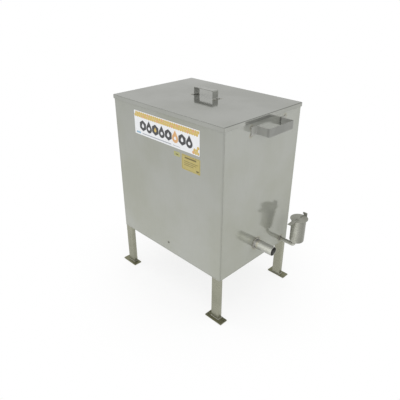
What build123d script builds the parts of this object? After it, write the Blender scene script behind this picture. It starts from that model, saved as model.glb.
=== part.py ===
from build123d import *
import os

# Free-standing steam wax melter: a stainless steel tank on four legs, with a lift-off lid, a
# perforated comb basket, a sloped wax tray that drains through an outlet tube, and a water
# filler cup with a hinged cap. A burner stands on the floor below the tank.
# Frame: origin on the floor under the middle of the tank, +X towards the outlet end,
# -Y towards the front, +Z up. All sizes in millimetres.

# Tank
tank_length = 600.0
tank_width = 435.0
tank_height = 610.0
ground_clearance = 200.0
wall_sheet = 1.5
corner_radius = 3.0
rim_flange = 12.0
pan_sheet = 2.0
pan_flange = 12.0

# Clearances: between welded pieces, between pieces that part, and round a turning pin
weld_gap = 0.2
seat_gap = 0.3
pin_gap = 0.06

# Legs and foot plates
leg_length_x = 40.0
leg_width_y = 20.0
leg_wall = 2.0
leg_corner_radius = 2.5
leg_inset_x = 3.0
foot_length = 86.0
foot_width = 37.0
foot_thickness = 5.0
foot_shift_x = 2.5
foot_shift_y = 4.5

# Lid
lid_sheet = 1.5
lid_flange = 16.0
lid_play = 1.5
lid_corner_radius = 4.0
lid_edge_bevel = 1.2

# Handles bent from flat strip
strip_width = 30.0
strip_thickness = 2.0
strip_bend_radius = 4.0
lid_handle_span = 104.0
lid_handle_height = 32.0
lid_handle_foot = 12.0
lid_handle_x = -14.0
lid_handle_y = 20.0
side_handle_span = 143.0
side_handle_reach = 57.0
side_handle_foot = 27.0
side_handle_y = 18.5
side_handle_drop = 44.0

# Wax outlet
outlet_diameter = 38.0
outlet_wall = 1.5
outlet_reach = 86.0
outlet_y = -4.5
outlet_height = 78.0

# Water filler: mitred pipe and cup
pipe_diameter = 17.2
pipe_wall = 2.0
pipe_inside = 12.0
pipe_height = 22.5
pipe_rise = 18.5
pipe_inset = 49.5
cup_diameter = 60.3
cup_wall = 2.0
cup_reach = 77.0
cup_height = 108.0
cup_edge = 9.0
cup_offset_x = 6.0
cup_offset_y = 8.0

# Hinged cap of the filler cup
cap_diameter = 73.0
cap_thickness = 2.0
tab_width = 15.0
tab_thickness = 1.5
tab_reach = 36.0
tab_overlap = 24.0
tab_droop = 3.0
tab_bend_radius = 12.0
strap_overlap = 24.0
hinge_setback = 8.0
hinge_bracket_drop = 26.0
knuckle_wall = 2.2
knuckle_length = 5.0
knuckle_play = 0.4
pin_diameter = 4.0
pin_head_diameter = 7.0
pin_head_thickness = 1.5

# Rivets that hold the tray brackets
rivet_shank = 4.8
rivet_head = 9.6
rivet_rise = 2.2
rivet_gap = 0.1

# Wax tray inside the tank
tray_sheet = 1.5
tray_side_gap = 26.0
tray_left_gap = 28.0
tray_right_gap = 2.0
tray_slope = 0.05
tray_valley_rise = 12.0
tray_lip = 14.0
tray_end_height = 46.0

# Brackets and feet under the tray
bracket_x = 6.0
bracket_width = 40.0
bracket_sheet = 2.0
bracket_reach = 50.0
bracket_drop = 50.0
bracket_bend_radius = 3.0
bracket_rivet_height = 42.0
tray_foot_width = 30.0
tray_foot_base = 26.0
tray_foot_setback = 25.5
tray_foot_inset = 80.0

# Angle bars that carry the basket
bar_leg = 25.0
bar_thickness = 3.0
bar_inset = 92.0
bar_height = 140.0

# Comb basket
basket_end_gap = 36.5
basket_side_gap = 34.0
basket_height = 380.0
basket_sheet = 1.5
basket_rim_height = 20.0
basket_rim_thickness = 3.0
slot_length = 130.0
slot_width = 12.0
slot_pitch_long = 150.0
slot_pitch_short = 44.0
slot_margin = 12.0
grip_width = 150.0
grip_rise = 60.0
grip_drop = 24.0
grip_corner_bevel = 15.0
grip_slot_length = 110.0
grip_slot_width = 32.0
grip_bar = 16.0
grip_thickness = 3.0

# Places worked out from the sizes above
half_length = tank_length / 2
half_width = tank_width / 2
inner_length = tank_length - 2 * wall_sheet
inner_width = tank_width - 2 * wall_sheet
tank_bottom_z = ground_clearance
tank_top_z = tank_bottom_z + tank_height
inner_floor_z = tank_bottom_z + pan_sheet
lid_top_z = tank_top_z + seat_gap + lid_sheet
leg_x = half_length - leg_inset_x - leg_length_x / 2
leg_y = half_width - leg_width_y / 2
outlet_z = tank_bottom_z + outlet_height
outlet_radius = outlet_diameter / 2
pipe_z = tank_bottom_z + pipe_height
pipe_radius = pipe_diameter / 2
pipe_y = half_width - pipe_inset
cup_x = half_length + cup_reach
cup_y = pipe_y + cup_offset_y
cup_radius = cup_diameter / 2
cup_bottom_z = pipe_z + pipe_rise
cup_top_z = cup_bottom_z + cup_height
rise_x = cup_x - cup_offset_x
cap_radius = cap_diameter / 2
cap_bottom_z = cup_top_z + seat_gap
cap_top_z = cap_bottom_z + cap_thickness
knuckle_radius = pin_diameter / 2 + knuckle_wall
knuckle_step = knuckle_length / 2 + knuckle_play
hinge_half_length = knuckle_step + knuckle_length
hinge_y = cup_y + cap_radius + hinge_setback
hinge_z = cap_top_z + seat_gap + knuckle_radius
rivet_z = tank_bottom_z + bracket_rivet_height
tray_right_x = half_length - wall_sheet - tray_right_gap
tray_left_x = -half_length + wall_sheet + tray_left_gap
tray_half_width = inner_width / 2 - tray_side_gap
tray_foot_x = tray_left_x + tray_foot_setback
tray_foot_y = tray_half_width - tray_foot_inset
basket_length = inner_length - 2 * basket_end_gap
basket_width = inner_width - 2 * basket_side_gap
bar_x = basket_length / 2 - bar_inset
bar_top_z = tank_bottom_z + bar_height
basket_floor_z = bar_top_z + seat_gap
basket_top_z = basket_floor_z + basket_sheet + basket_height
basket_wall_mid_z = basket_floor_z + basket_sheet + (basket_height + weld_gap) / 2


def along_x(radius, x_start, x_end, y, z):
    """A solid round bar parallel to X."""
    start = Plane(origin=(x_start, y, z), x_dir=(0, 1, 0), z_dir=(1, 0, 0))
    return extrude(start * Circle(radius), amount=x_end - x_start)


def through_y(radius, x, z):
    """A solid round bar parallel to Y, right through the tank."""
    return extrude(Plane.XZ * Pos(x, z) * Circle(radius), amount=tank_width, both=True)


def through_z(radius, x, y, z):
    """A short solid round bar parallel to Z that passes through the cup floor near z."""
    return Pos(x, y, z) * extrude(Circle(radius), amount=4 * cup_wall, both=True)


def upright_ring(length, width, radius, wall, height):
    """An upright rectangular ring of sheet with rounded corners, standing on z = 0."""
    outer = RectangleRounded(length, width, radius)
    inner = RectangleRounded(length - 2 * wall, width - 2 * wall, radius - wall)
    return extrude(outer - inner, amount=height)


def bent_strip(points, thickness, width, bend_radius):
    """Flat strip bent along a centre line of (x, z) points, centred on Y = 0."""
    profile = trace(FilletPolyline(*points, radius=bend_radius), line_width=thickness)
    return extrude(Plane.XZ * profile, amount=width / 2, both=True)


def bow_handle(span, height, foot):
    """Bow handle of flat strip: grip along X at the top, feet turned out and flat on z = 0."""
    low = strip_thickness / 2
    high = height - low
    arm = span / 2 - low
    tip = span / 2 + foot
    points = [(-tip, low), (-arm, low), (-arm, high), (arm, high), (arm, low), (tip, low)]
    return bent_strip(points, strip_thickness, strip_width, strip_bend_radius)


def rivet(grip):
    """Rivet along Z, with its low conical head resting on z = 0 and its shank below."""
    half = (
        (0, -grip),
        (rivet_shank / 2, -grip),
        (rivet_shank / 2, 0),
        (rivet_head / 2, 0),
        (0, rivet_rise),
    )
    return revolve(Plane.XZ * make_face(Polyline(*half, close=True)), axis=Axis.Z)


def tank_wall():
    """Four walls folded from one sheet, with the top edge folded in as a rim."""
    walls = upright_ring(tank_length, tank_width, corner_radius, wall_sheet, tank_height)
    outline = RectangleRounded(tank_length, tank_width, corner_radius)
    opening_length = inner_length - 2 * rim_flange
    opening_width = inner_width - 2 * rim_flange
    rim = extrude(outline - Rectangle(opening_length, opening_width), amount=wall_sheet)
    shell = Pos(0, 0, tank_bottom_z) * (walls + Pos(0, 0, tank_height - wall_sheet) * rim)
    inside = half_length - 2 * wall_sheet
    outside = half_length + wall_sheet
    shell -= along_x(outlet_radius + weld_gap, inside, outside, outlet_y, outlet_z)
    shell -= along_x(pipe_radius + weld_gap, inside, outside, pipe_y, pipe_z)
    shell -= through_y(rivet_shank / 2 + rivet_gap, bracket_x, rivet_z)
    return shell


def tank_bottom():
    """Bottom pan with an upturned flange, welded inside the lower edge of the walls."""
    length = inner_length - 2 * weld_gap
    width = inner_width - 2 * weld_gap
    base = extrude(RectangleRounded(length, width, corner_radius), amount=pan_sheet)
    flange = upright_ring(length, width, corner_radius, pan_sheet, pan_flange)
    return Pos(0, 0, tank_bottom_z) * (base + flange)


def leg(sign_x, sign_y):
    """Leg of rectangular hollow section, upright under one corner of the tank."""
    section = RectangleRounded(leg_length_x, leg_width_y, leg_corner_radius)
    section -= Rectangle(leg_length_x - 2 * leg_wall, leg_width_y - 2 * leg_wall)
    tube = extrude(section, amount=ground_clearance - foot_thickness)
    return Pos(sign_x * leg_x, sign_y * leg_y, foot_thickness) * tube


def foot_plate(sign_x, sign_y):
    """Flat foot plate, set a little outwards of the leg that stands on it."""
    x = sign_x * (leg_x + foot_shift_x)
    y = sign_y * (leg_y + foot_shift_y)
    return Pos(x, y, 0) * extrude(Rectangle(foot_length, foot_width), amount=foot_thickness)


def lid():
    """Lift-off lid: flat sheet with a flange turned down outside the tank walls."""
    length = tank_length + 2 * (lid_play + lid_sheet)
    width = tank_width + 2 * (lid_play + lid_sheet)
    flange = upright_ring(length, width, lid_corner_radius, lid_sheet, lid_flange)
    top = extrude(RectangleRounded(length, width, lid_corner_radius), amount=lid_sheet)
    shell = flange + Pos(0, 0, lid_flange - lid_sheet) * top
    shell = chamfer(shell.faces().sort_by(Axis.Z)[-1].edges(), length=lid_edge_bevel)
    return Pos(0, 0, lid_top_z - lid_flange) * shell


def lid_handle():
    """Bow handle on the lid, grip along the tank."""
    grip = bow_handle(lid_handle_span, lid_handle_height, lid_handle_foot)
    return Pos(lid_handle_x, lid_handle_y, lid_top_z) * grip


def side_handle(sign_x):
    """Bow handle on an end wall, strip upright and grip along Y."""
    grip = bow_handle(side_handle_span, side_handle_reach, side_handle_foot)
    centre = (sign_x * half_length, side_handle_y, tank_top_z - side_handle_drop)
    return Plane(origin=centre, x_dir=(0, 1, 0), z_dir=(sign_x, 0, 0)) * grip


def outlet_tube():
    """Thin open tube that carries melted wax out of the tray through the end wall."""
    start = tray_right_x - tray_sheet
    end = half_length + outlet_reach
    bore_radius = outlet_radius - outlet_wall
    outer = along_x(outlet_radius, start, end, outlet_y, outlet_z)
    return outer - along_x(bore_radius, start, end, outlet_y, outlet_z)


def filler_pipe():
    """Mitred pipe, level out of the water space of the tank, then up into the cup floor."""
    start = (half_length - wall_sheet - pipe_inside, pipe_y, pipe_z)
    corner = (rise_x, pipe_y, pipe_z)
    end = (rise_x, pipe_y, cup_bottom_z + cup_wall)
    path = Polyline(start, corner, end)
    ring = Circle(pipe_radius) - Circle(pipe_radius - pipe_wall)
    section = Plane(origin=path @ 0, z_dir=path % 0) * ring
    return sweep(section, path=path, transition=Transition.RIGHT)


def cup_form(radius, floor_z, edge):
    """Solid form of revolution with a sloped lower edge that ends level with the cup's rim."""
    half = (
        (0, floor_z),
        (radius - edge, floor_z),
        (radius, floor_z + edge),
        (radius, cup_top_z),
        (0, cup_top_z),
    )
    form = revolve(Plane.XZ * make_face(Polyline(*half, close=True)), axis=Axis.Z)
    return Pos(cup_x, cup_y, 0) * form


def filler_cup():
    """Upright water cup with a sloped lower edge and a hole for the pipe."""
    outer = cup_form(cup_radius, cup_bottom_z, cup_edge)
    inner = cup_form(cup_radius - cup_wall, cup_bottom_z + cup_wall, cup_edge)
    return outer - inner - through_z(pipe_radius + weld_gap, rise_x, pipe_y, cup_bottom_z)


def knuckle(middle):
    """Hinge knuckle round the pin, with its middle this far along X from the cup's axis."""
    start = cup_x + middle - knuckle_length / 2
    end = start + knuckle_length
    outer = along_x(knuckle_radius, start, end, hinge_y, hinge_z)
    return outer - along_x(pin_diameter / 2 + pin_gap, start, end, hinge_y, hinge_z)


def filler_hinge_bracket():
    """Fixed half of the cap hinge: bent strip from the cup's side with the outer knuckles."""
    leaf = knuckle_radius - bracket_sheet / 2
    low = -hinge_bracket_drop
    points = [(cup_y - hinge_y, low), (leaf, low), (leaf, 0)]
    strip = bent_strip(points, bracket_sheet, 2 * hinge_half_length, bracket_bend_radius)
    hinge_plane = Plane(origin=(cup_x, hinge_y, hinge_z), x_dir=(0, 1, 0), z_dir=(0, 0, 1))
    cup_space = extrude(Circle(cup_radius + weld_gap), amount=cup_height)
    window = Box(2 * knuckle_step, 4 * knuckle_radius, 4 * knuckle_radius)
    bracket = hinge_plane * strip
    bracket -= Pos(cup_x, cup_y, cup_bottom_z) * cup_space
    bracket -= Pos(cup_x, hinge_y, hinge_z) * window
    for side in (-1, 1):
        bracket += knuckle(side * (knuckle_step + knuckle_length / 2))
    return bracket


def filler_hinge_pin():
    """Hinge pin through all three knuckles, with a head at its left end."""
    left = cup_x - hinge_half_length
    right = cup_x + hinge_half_length + pin_head_thickness
    head = along_x(pin_head_diameter / 2, left - pin_head_thickness, left, hinge_y, hinge_z)
    return head + along_x(pin_diameter / 2, left, right, hinge_y, hinge_z)


def filler_cap():
    """Round flat cap plate that lies on the rim of the cup."""
    return Pos(cup_x, cup_y, cap_bottom_z) * extrude(Circle(cap_radius), amount=cap_thickness)


def filler_cap_strap():
    """Moving half of the hinge: strap along the cap with the middle knuckle at its end."""
    start_y = cup_y + cap_radius - strap_overlap
    strap_length = hinge_y - start_y
    base = (Align.CENTER, Align.MIN, Align.MIN)
    strap = Pos(cup_x, start_y, cap_top_z) * Box(knuckle_length, strap_length, tab_thickness, align=base)
    web = Box(knuckle_length, knuckle_radius, hinge_z - cap_top_z, align=base)
    web = Pos(cup_x, hinge_y - knuckle_radius, cap_top_z) * web
    end = hinge_half_length
    bore = along_x(pin_diameter / 2 + pin_gap, cup_x - end, cup_x + end, hinge_y, hinge_z)
    return strap + web + knuckle(0) - bore


def filler_cap_tab():
    """Lift tab of flat strip on the cap, with its outer end bent down a little."""
    level = tab_thickness / 2
    points = [(tab_overlap, level), (-tab_thickness, level), (-tab_reach, level - tab_droop)]
    strip = bent_strip(points, tab_thickness, tab_width, tab_bend_radius)
    edge = (cup_x, cup_y - cap_radius, cap_top_z)
    return Plane(origin=edge, x_dir=(0, 1, 0), z_dir=(0, 0, 1)) * strip


def tray_rivets():
    """Two rivets, one through each long wall into the bracket behind it."""
    grip = wall_sheet + bracket_sheet + weld_gap
    rivets = []
    for sign_y in (-1, 1):
        head = (bracket_x, sign_y * half_width, rivet_z)
        place = Plane(origin=head, x_dir=(1, 0, 0), z_dir=(0, sign_y, 0))
        rivets.append(place * rivet(grip))
    return Compound(children=rivets)


def valley_z(x):
    """Height of the tray's floor along its valley, level with the outlet bore at its end."""
    return outlet_z - outlet_radius + outlet_wall + tray_slope * (tray_right_x - x)


def tray_underside_z(x, y):
    """Height of the underside of the tray at a point."""
    side = tray_half_width if y > outlet_y else -tray_half_width
    rise = tray_valley_rise * (y - outlet_y) / (side - outlet_y)
    return valley_z(x) + rise - tray_sheet


def wax_tray():
    """Sloped trough with a shallow valley that leads melted wax to the outlet tube."""
    half = tray_half_width - tray_sheet / 2
    base = valley_z(tray_right_x) - tray_sheet / 2
    side = base + tray_valley_rise
    rim = side + tray_lip
    top = base + tray_end_height
    end_plane = Plane(origin=(tray_right_x, 0, 0), x_dir=(0, 1, 0), z_dir=(1, 0, 0))
    section = Polyline((-half, rim), (-half, side), (outlet_y, base), (half, side), (half, rim))
    length = tray_right_x - tray_left_x
    run = Vector(-length, 0, tray_slope * length)
    trough = extrude(end_plane * trace(section, line_width=tray_sheet), amount=run.length, dir=run)
    outline = Polyline(
        (-half, top), (-half, side), (outlet_y, base), (half, side), (half, top), close=True
    )
    plate = extrude(end_plane * make_face(outline), amount=-tray_sheet)
    start = tray_right_x - tray_sheet
    return trough + plate - along_x(outlet_radius + weld_gap, start, half_length, outlet_y, outlet_z)


def tray_bracket(sign_y):
    """Angle bracket riveted inside a long wall, with its level leg under the tray."""
    wall = inner_width / 2
    reach = wall - bracket_reach
    half_sheet = bracket_sheet / 2
    top = tray_underside_z(bracket_x + bracket_width / 2, sign_y * reach) - weld_gap - half_sheet
    leaf = wall - weld_gap - half_sheet
    points = [(leaf, top - bracket_drop), (leaf, top), (reach, top)]
    strip = bent_strip(points, bracket_sheet, bracket_width, bracket_bend_radius)
    strip = Pos(bracket_x, 0, 0) * Rot(0, 0, sign_y * 90) * strip
    return strip - through_y(rivet_shank / 2 + rivet_gap, bracket_x, rivet_z)


def tray_foot(sign_y):
    """Upright foot at the high end of the tray, turned out flat on the tank floor."""
    inner_edge = sign_y * (tray_foot_y - tray_foot_width / 2)
    top = tray_underside_z(tray_foot_x + bracket_sheet, inner_edge) - weld_gap
    half_sheet = bracket_sheet / 2
    low = inner_floor_z + half_sheet
    leaf = tray_foot_x + half_sheet
    points = [(leaf, top), (leaf, low), (leaf + tray_foot_base, low)]
    strip = bent_strip(points, bracket_sheet, tray_foot_width, bracket_bend_radius)
    return Pos(0, sign_y * tray_foot_y, 0) * strip


def basket_bar(sign_x):
    """Angle bar across the tank, level leg on top, that carries one end of the basket."""
    length = inner_width - 2 * weld_gap
    level_leg = Rectangle(bar_leg, bar_thickness, align=(Align.MAX, Align.MAX))
    upright_leg = Rectangle(bar_thickness, bar_leg, align=(Align.MIN, Align.MAX))
    section = level_leg + Pos(-bar_leg, 0) * upright_leg
    bar = extrude(Plane.XZ * section, amount=length / 2, both=True)
    return Rot(0, 0, 90 - 90 * sign_x) * Pos(bar_x, 0, bar_top_z) * bar


def slot_count(extent, pitch, slot):
    """How many slots fit along a panel, leaving a plain margin at both ends."""
    return int((extent - 2 * slot_margin - slot) // pitch) + 1


def slotted_panel(length, height):
    """Flat perforated panel centred on the origin, slots along its length."""
    along = slot_count(length, slot_pitch_long, slot_length)
    across = slot_count(height, slot_pitch_short, slot_width)
    grid = GridLocations(slot_pitch_long, slot_pitch_short, along, across)
    slots = [place * Rectangle(slot_length, slot_width) for place in grid]
    return extrude(Rectangle(length, height) - slots, amount=basket_sheet)


def basket_floor():
    """Perforated floor of the basket, under its four panels."""
    return Pos(0, 0, basket_floor_z) * slotted_panel(basket_length, basket_width)


def basket_side(sign_y):
    """Long perforated side of the basket, standing on the edge of the floor."""
    panel = slotted_panel(basket_length, basket_height - weld_gap)
    middle = (0, sign_y * basket_width / 2, basket_wall_mid_z)
    return Plane(origin=middle, x_dir=(1, 0, 0), z_dir=(0, -sign_y, 0)) * panel


def basket_end(sign_x):
    """Short perforated end of the basket, fitted between the two long sides."""
    width = basket_width - 2 * (basket_sheet + weld_gap)
    panel = slotted_panel(width, basket_height - weld_gap)
    middle = (sign_x * basket_length / 2, 0, basket_wall_mid_z)
    return Plane(origin=middle, x_dir=(0, 1, 0), z_dir=(-sign_x, 0, 0)) * panel


def basket_rim():
    """Flat bar welded round the outside of the panels at the top."""
    wall = basket_rim_thickness
    length = basket_length + 2 * (weld_gap + wall)
    width = basket_width + 2 * (weld_gap + wall)
    inner = Rectangle(length - 2 * wall, width - 2 * wall)
    ring = extrude(RectangleRounded(length, width, wall) - inner, amount=basket_rim_height)
    return Pos(0, 0, basket_top_z - basket_rim_height) * ring


def basket_grip(sign_x):
    """Upright plate with a hand slot, welded outside the rim at one end of the basket."""
    height = grip_rise + grip_drop
    outline = Rectangle(grip_width, height)
    outline = chamfer(outline.vertices(), length=grip_corner_bevel)
    slot_rise = height / 2 - grip_bar - grip_slot_width / 2
    outline -= Pos(0, slot_rise) * SlotOverall(grip_slot_length, grip_slot_width)
    x = basket_length / 2 + weld_gap + basket_rim_thickness + weld_gap
    middle = (sign_x * x, 0, basket_top_z - grip_drop + height / 2)
    place = Plane(origin=middle, x_dir=(0, sign_x, 0), z_dir=(sign_x, 0, 0))
    return place * extrude(outline, amount=grip_thickness)


def all_parts():
    """Every piece of the melter with its name."""
    parts = {
        "tank_wall": tank_wall(),
        "tank_bottom": tank_bottom(),
        "lid": lid(),
        "lid_handle": lid_handle(),
        "outlet_tube": outlet_tube(),
        "filler_pipe": filler_pipe(),
        "filler_cup": filler_cup(),
        "filler_hinge_bracket": filler_hinge_bracket(),
        "filler_hinge_pin": filler_hinge_pin(),
        "filler_cap": filler_cap(),
        "filler_cap_strap": filler_cap_strap(),
        "filler_cap_tab": filler_cap_tab(),
        "wax_tray": wax_tray(),
        "tray_rivets": tray_rivets(),
        "basket_floor": basket_floor(),
        "basket_rim": basket_rim(),
    }
    for end, sign_x in (("left", -1), ("right", 1)):
        parts[f"side_handle_{end}"] = side_handle(sign_x)
        parts[f"basket_bar_{end}"] = basket_bar(sign_x)
        parts[f"basket_end_{end}"] = basket_end(sign_x)
        parts[f"basket_grip_{end}"] = basket_grip(sign_x)
        for side, sign_y in (("front", -1), ("back", 1)):
            parts[f"leg_{side}_{end}"] = leg(sign_x, sign_y)
            parts[f"foot_plate_{side}_{end}"] = foot_plate(sign_x, sign_y)
    for side, sign_y in (("front", -1), ("back", 1)):
        parts[f"tray_bracket_{side}"] = tray_bracket(sign_y)
        parts[f"tray_foot_{side}"] = tray_foot(sign_y)
        parts[f"basket_side_{side}"] = basket_side(sign_y)
    return parts


os.makedirs("parts", exist_ok=True)
for node, shape in all_parts().items():
    export_step(shape, f"parts/{node}.step")
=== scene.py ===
import math
import random

import bpy
from mathutils import Matrix, Vector


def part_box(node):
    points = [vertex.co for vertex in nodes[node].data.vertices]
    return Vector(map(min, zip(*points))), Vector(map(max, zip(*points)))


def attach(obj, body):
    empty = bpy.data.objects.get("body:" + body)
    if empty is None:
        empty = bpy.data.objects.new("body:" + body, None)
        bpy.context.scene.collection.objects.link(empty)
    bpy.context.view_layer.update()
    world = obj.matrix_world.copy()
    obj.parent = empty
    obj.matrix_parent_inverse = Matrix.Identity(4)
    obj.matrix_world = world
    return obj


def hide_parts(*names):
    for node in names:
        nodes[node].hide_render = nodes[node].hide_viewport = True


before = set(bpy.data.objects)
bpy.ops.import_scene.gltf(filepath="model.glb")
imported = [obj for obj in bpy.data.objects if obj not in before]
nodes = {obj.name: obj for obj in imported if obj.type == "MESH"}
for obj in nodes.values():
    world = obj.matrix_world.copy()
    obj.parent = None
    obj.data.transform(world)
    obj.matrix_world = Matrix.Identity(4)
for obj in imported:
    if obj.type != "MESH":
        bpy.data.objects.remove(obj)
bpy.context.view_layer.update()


def corners_of(node):
    """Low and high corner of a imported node, in metres."""
    low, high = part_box(node)
    return Vector(low), Vector(high)


# Places on the melter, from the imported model, and its wall thicknesses, all in metres

TANK_LOW, TANK_HIGH = corners_of("tank_wall")
TANK_X = TANK_HIGH.x
TANK_Y = TANK_HIGH.y
LID_LOW, LID_HIGH = corners_of("lid")
LID_TOP = LID_HIGH.z
CAP_TOP = corners_of("filler_cap")[1].z
RIVETS_LOW, RIVETS_HIGH = corners_of("tray_rivets")

TUBE_LOW, TUBE_HIGH = corners_of("outlet_tube")
OUTLET_RADIUS = (TUBE_HIGH.z - TUBE_LOW.z) / 2
OUTLET_WALL = 0.0015
OUTLET = Vector((TANK_X, (TUBE_LOW.y + TUBE_HIGH.y) / 2, TUBE_LOW.z + OUTLET_RADIUS))

PIPE_LOW, PIPE_HIGH = corners_of("filler_pipe")
PIPE_RADIUS = (PIPE_HIGH.y - PIPE_LOW.y) / 2
PIPE_WALL = 0.002
PIPE_BEND = 0.0095
PIPE_RISE_X = PIPE_HIGH.x - PIPE_RADIUS
PIPE = Vector((TANK_X, PIPE_LOW.y + PIPE_RADIUS, PIPE_LOW.z + PIPE_RADIUS))

CUP_LOW, CUP_HIGH = corners_of("filler_cup")
CUP_RADIUS = (CUP_HIGH.x - CUP_LOW.x) / 2
CUP_HEIGHT = CUP_HIGH.z - CUP_LOW.z
CUP_WALL = 0.002
CUP_EDGE = 0.0085
CUP = Vector((CUP_LOW.x + CUP_RADIUS, CUP_LOW.y + CUP_RADIUS, CUP_LOW.z))

SIDE_LOW, SIDE_HIGH = corners_of("side_handle_right")
GRIP_LOW, GRIP_HIGH = corners_of("lid_handle")
TACK_INSET = 0.0012
TACK_INSET_ACROSS = 0.0008
SIDE_TACKS = [(y, z) for y in (SIDE_LOW.y + TACK_INSET, SIDE_HIGH.y - TACK_INSET)
              for z in (SIDE_LOW.z + TACK_INSET_ACROSS, SIDE_HIGH.z - TACK_INSET_ACROSS)]
LID_TACKS = [(x, y) for x in (GRIP_LOW.x + TACK_INSET, GRIP_HIGH.x - TACK_INSET)
             for y in (GRIP_LOW.y + TACK_INSET_ACROSS, GRIP_HIGH.y - TACK_INSET_ACROSS)]

X_AXIS = (1, 0, 0)
Y_AXIS = (0, 1, 0)
Z_AXIS = (0, 0, 1)
DOWN = (0, 0, -1)
TINY = 1e-9

# Sign of each side along Y, and of each end along X
SIDES = {"front": -1, "back": 1}
ENDS = {"left": -1, "right": 1}
CORNERS = [f"{side}_{end}" for side in SIDES for end in ENDS]


# Camera

def photo_camera():
    """Camera at the photograph's viewing angle."""
    azimuth = math.radians(45.067)
    pitch = math.radians(27.944)
    roll = math.radians(0.08)
    forward = Vector((-math.sin(azimuth) * math.cos(pitch), math.cos(azimuth) * math.cos(pitch),
                      -math.sin(pitch)))
    level = Vector((math.cos(azimuth), math.sin(azimuth), 0.0))
    upward = level.cross(forward)
    right = math.cos(roll) * level + math.sin(roll) * upward
    up = -math.sin(roll) * level + math.cos(roll) * upward
    eye = Vector((1.1556, -1.1798, 1.2366))
    place = Matrix((right, up, -forward)).transposed().to_4x4()
    place.translation = eye
    camera = bpy.data.objects.new("photo_camera", bpy.data.cameras.new("photo_camera"))
    camera.matrix_world = place
    camera.data.lens = 38.15
    camera.data.sensor_width = 36.0
    camera.data.shift_x = 0.0005
    camera.data.shift_y = -0.0005
    camera.data.clip_end = 60.0
    bpy.context.scene.collection.objects.link(camera)
    bpy.context.scene.camera = camera


# Node helpers

class Graph:
    """One procedural material, with short calls that add and join its nodes."""

    def __init__(self, name):
        self.material = bpy.data.materials.new(name)
        self.material.use_nodes = True
        self.tree = self.material.node_tree
        self.shader = self.tree.nodes["Principled BSDF"]
        self.out = self.tree.nodes["Material Output"]

    def node(self, kind, values=None, **settings):
        made = self.tree.nodes.new(kind)
        for key, value in settings.items():
            setattr(made, key, value)
        for key, value in (values or {}).items():
            self.feed(made.inputs[key], value)
        return made

    def feed(self, socket, value):
        """Links an output to an input, or sets the input to a constant."""
        if isinstance(value, bpy.types.NodeSocket):
            self.tree.links.new(value, socket)
        else:
            socket.default_value = value

    def math(self, operation, first, second=0.0, third=0.0, clamp=False):
        return self.node("ShaderNodeMath", {0: first, 1: second, 2: third},
                         operation=operation, use_clamp=clamp).outputs[0]

    def spot(self, output="Object"):
        """Where the surface is, or how it faces, in the part's own frame."""
        return self.node("ShaderNodeTexCoord").outputs[output]

    def place(self, scale=(1, 1, 1), shift=(0, 0, 0)):
        """The surface's place, stretched and shifted to vary a texture."""
        return self.node("ShaderNodeMapping", {"Vector": self.spot(), "Scale": scale,
                                               "Location": shift}).outputs[0]

    def noise(self, scale, detail=3.0, rough=0.5, stretch=(1, 1, 1), shift=(0, 0, 0)):
        return self.node("ShaderNodeTexNoise", {"Vector": self.place(stretch, shift),
                                                "Scale": scale, "Detail": detail,
                                                "Roughness": rough}).outputs["Fac"]

    def spread(self, value, low, high, to_low=0.0, to_high=1.0, smooth=True):
        """Maps a range of the value onto another, and holds it at the ends."""
        kind = "SMOOTHSTEP" if smooth else "LINEAR"
        return self.node("ShaderNodeMapRange", {0: value, 1: low, 2: high, 3: to_low, 4: to_high},
                         interpolation_type=kind, clamp=True).outputs[0]

    def mix(self, factor, first, second, blend="MIX"):
        made = self.node("ShaderNodeMix", data_type="RGBA", blend_type=blend)
        self.feed(made.inputs[0], factor)
        for number, colour in ((6, first), (7, second)):
            linked = isinstance(colour, bpy.types.NodeSocket)
            self.feed(made.inputs[number], colour if linked else (*colour, 1.0))
        return made.outputs[2]

    def times(self, colour, level):
        """The colour times a grey level."""
        grey = self.node("ShaderNodeCombineColor", {0: level, 1: level, 2: level}).outputs[0]
        return self.mix(1.0, colour, grey, blend="MULTIPLY")

    def bump(self, height, distance, under=None):
        values = {"Height": height, "Distance": distance, "Strength": 1.0}
        if under is not None:
            values["Normal"] = under
        return self.node("ShaderNodeBump", values).outputs[0]

    def distance_to(self, place):
        """Distance from a place on the melter, in metres."""
        return self.node("ShaderNodeVectorMath", {0: self.spot(), 1: tuple(place)},
                         operation="DISTANCE").outputs["Value"]

    def along(self, origin, direction, length=1.0):
        """How far the surface lies from an origin along a direction, counted in lengths."""
        offset = self.node("ShaderNodeVectorMath", {0: self.spot(), 1: tuple(origin)},
                           operation="SUBTRACT").outputs[0]
        share = tuple(part / length for part in direction)
        return self.node("ShaderNodeVectorMath", {0: offset, 1: share},
                         operation="DOT_PRODUCT").outputs["Value"]

    def ramp(self, value, stops, interpolation="EASE"):
        """Colour read from a list of positions, each with a grey level or a colour."""
        made = self.node("ShaderNodeValToRGB", {"Fac": value})
        curve = made.color_ramp
        curve.interpolation = interpolation
        while len(curve.elements) < len(stops):
            curve.elements.new(1.0)
        for element, (position, level) in zip(curve.elements, stops):
            colour = level if isinstance(level, tuple) else (level, level, level)
            element.position = position
            element.color = (*colour, 1.0)
        return made.outputs[0]

    def finish(self, **sockets):
        for key, value in sockets.items():
            self.feed(self.shader.inputs[key.replace("_", " ")], value)
        return self.material


# Steel: noise scales are per metre, the reaches of tint and of painted bore shade in metres

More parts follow.
